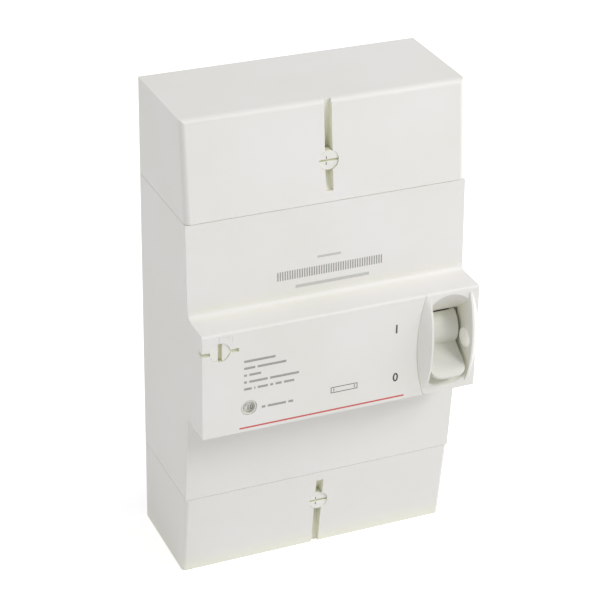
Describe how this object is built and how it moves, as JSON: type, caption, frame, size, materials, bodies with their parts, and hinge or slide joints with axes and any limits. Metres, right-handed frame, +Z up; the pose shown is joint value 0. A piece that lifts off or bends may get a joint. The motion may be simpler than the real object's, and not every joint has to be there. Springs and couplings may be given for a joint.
{
  "type": "service circuit breaker",
  "caption": "Four-pole service circuit breaker for a meter board: sealed covers, full-width nose with a recessed tab handle, adjustable rating dial behind a window.",
  "frame": {"origin": "centre of the four fixing holes, on the mounting face at the back", "axes": "+Z up, +Y into the board (out of the back), +X to the right seen from the front"},
  "size_m": [0.126, 0.0785, 0.2177],
  "materials": {
    "cover_plastic": "satin",
    "base_plastic": "matt",
    "handle_plastic": "satin",
    "screw_plastic": "satin",
    "inner_plastic": "matt",
    "dial_plastic": "satin",
    "clear_window": "clear",
    "fibre": "matt",
    "steel": "zinc plated",
    "copper": "bare copper",
    "terminal_brass": "bare brass",
    "bimetal": "bare"
  },
  "bodies": {
    "casing": {"arc_chute_holder_1": "fibre", "arc_chute_holder_2": "fibre", "arc_chute_holder_3": "fibre", "arc_chute_holder_4": "fibre", "arc_plates": "steel", "base": "base_plastic", "bimetal_1": "bimetal", "bimetal_2": "bimetal", "bimetal_3": "bimetal", "braids": "copper", "dial_retainer": "inner_plastic", "frame_plate_left": "steel", "frame_plate_right": "steel", "frame_spacers": "steel", "line_strip_1": "copper", "line_strip_2": "copper", "line_strip_3": "copper", "line_strip_4": "copper", "line_terminal_1": "terminal_brass", "line_terminal_2": "terminal_brass", "line_terminal_3": "terminal_brass", "line_terminal_4": "terminal_brass", "line_terminal_screws": "steel", "load_strip_1": "copper", "load_strip_2": "copper", "load_strip_3": "copper", "load_terminal_1": "terminal_brass", "load_terminal_2": "terminal_brass", "load_terminal_3": "terminal_brass", "load_terminal_4": "terminal_brass", "load_terminal_screws": "steel", "lower_terminal_cover": "cover_plastic", "magnet_yoke_1": "steel", "magnet_yoke_2": "steel", "magnet_yoke_3": "steel", "middle_cover": "cover_plastic", "neutral_strip": "copper", "rating_window": "clear_window", "upper_terminal_cover": "cover_plastic"},
    "handle": {"handle": "handle_plastic", "crank_pin": "steel"},
    "contact_bar": {"contact_bar": "inner_plastic", "link_pin": "steel", "blade_springs": "steel", "moving_contact_1": "copper", "moving_contact_2": "copper", "moving_contact_3": "copper", "moving_contact_4": "copper"},
    "drive_link": {"drive_link": "steel"},
    "trip_bar": {"trip_bar": "inner_plastic"},
    "trip_latch": {"trip_latch": "steel"},
    "armature_1": {"armature_1": "steel"},
    "armature_2": {"armature_2": "steel"},
    "armature_3": {"armature_3": "steel"},
    "rating_dial": {"rating_dial": "dial_plastic"},
    "upper_seal_screw": {"upper_seal_screw": "screw_plastic"},
    "lower_seal_screw": {"lower_seal_screw": "screw_plastic"},
    "nose_seal_screw": {"nose_seal_screw": "screw_plastic"}
  },
  "joints": [
    {"name": "handle_swing", "type": "hinge", "parent": "casing", "child": "handle", "pos_m": [0.0491, -0.0582, -0.00035], "axis": [-1, 0, 0], "range_deg": [0, 82]},
    {"name": "contact_bar_turn", "type": "hinge", "parent": "casing", "child": "contact_bar", "pos_m": [0, -0.024, 0.00564], "axis": [-1, 0, 0], "range_deg": [0, 28]},
    {"name": "drive_link_turn", "type": "hinge", "parent": "contact_bar", "child": "drive_link", "pos_m": [0.0491, -0.0217, -0.00357], "axis": [-1, 0, 0], "range_deg": [-28, 0]},
    {"name": "trip_bar_turn", "type": "hinge", "parent": "casing", "child": "trip_bar", "pos_m": [0, -0.042, -0.01075], "axis": [-1, 0, 0], "range_deg": [0, 12], "stiffness_Nm_per_rad": 0.02},
    {"name": "trip_latch_turn", "type": "hinge", "parent": "casing", "child": "trip_latch", "pos_m": [0.0531, -0.042, 0.01525], "axis": [-1, 0, 0], "range_deg": [0, 10]},
    {"name": "armature_1_tilt", "type": "hinge", "parent": "casing", "child": "armature_1", "pos_m": [-0.045, -0.038, -0.02975], "axis": [1, 0, 0], "range_deg": [0, 4], "stiffness_Nm_per_rad": 0.01},
    {"name": "armature_2_tilt", "type": "hinge", "parent": "casing", "child": "armature_2", "pos_m": [-0.015, -0.038, -0.02975], "axis": [1, 0, 0], "range_deg": [0, 4], "stiffness_Nm_per_rad": 0.01},
    {"name": "armature_3_tilt", "type": "hinge", "parent": "casing", "child": "armature_3", "pos_m": [0.015, -0.038, -0.02975], "axis": [1, 0, 0], "range_deg": [0, 4], "stiffness_Nm_per_rad": 0.01},
    {"name": "rating_dial_turn", "type": "hinge", "parent": "casing", "child": "rating_dial", "pos_m": [-0.0423, -0.0734, -0.01395], "axis": [0, -1, 0], "range_deg": [0, 120]},
    {"name": "upper_seal_screw_turn", "type": "hinge", "parent": "casing", "child": "upper_seal_screw", "pos_m": [0.0006, -0.05286, 0.08295], "axis": [0, -1, 0], "range_deg": [0, 90]},
    {"name": "lower_seal_screw_turn", "type": "hinge", "parent": "casing", "child": "lower_seal_screw", "pos_m": [0.0006, -0.05041, -0.08495], "axis": [0, -1, 0], "range_deg": [0, 90]},
    {"name": "nose_seal_screw_turn", "type": "hinge", "parent": "casing", "child": "nose_seal_screw", "pos_m": [-0.0551, -0.0734, 0.01475], "axis": [0, -1, 0], "range_deg": [0, 90]}
  ],
  "couplings": [
    {"joint": "contact_bar_turn", "follows": "handle_swing", "ratio": 0.34146},
    {"joint": "drive_link_turn", "follows": "handle_swing", "ratio": -0.34146},
    {"joint": "trip_latch_turn", "follows": "trip_bar_turn", "ratio": 0.83333}
  ]
}
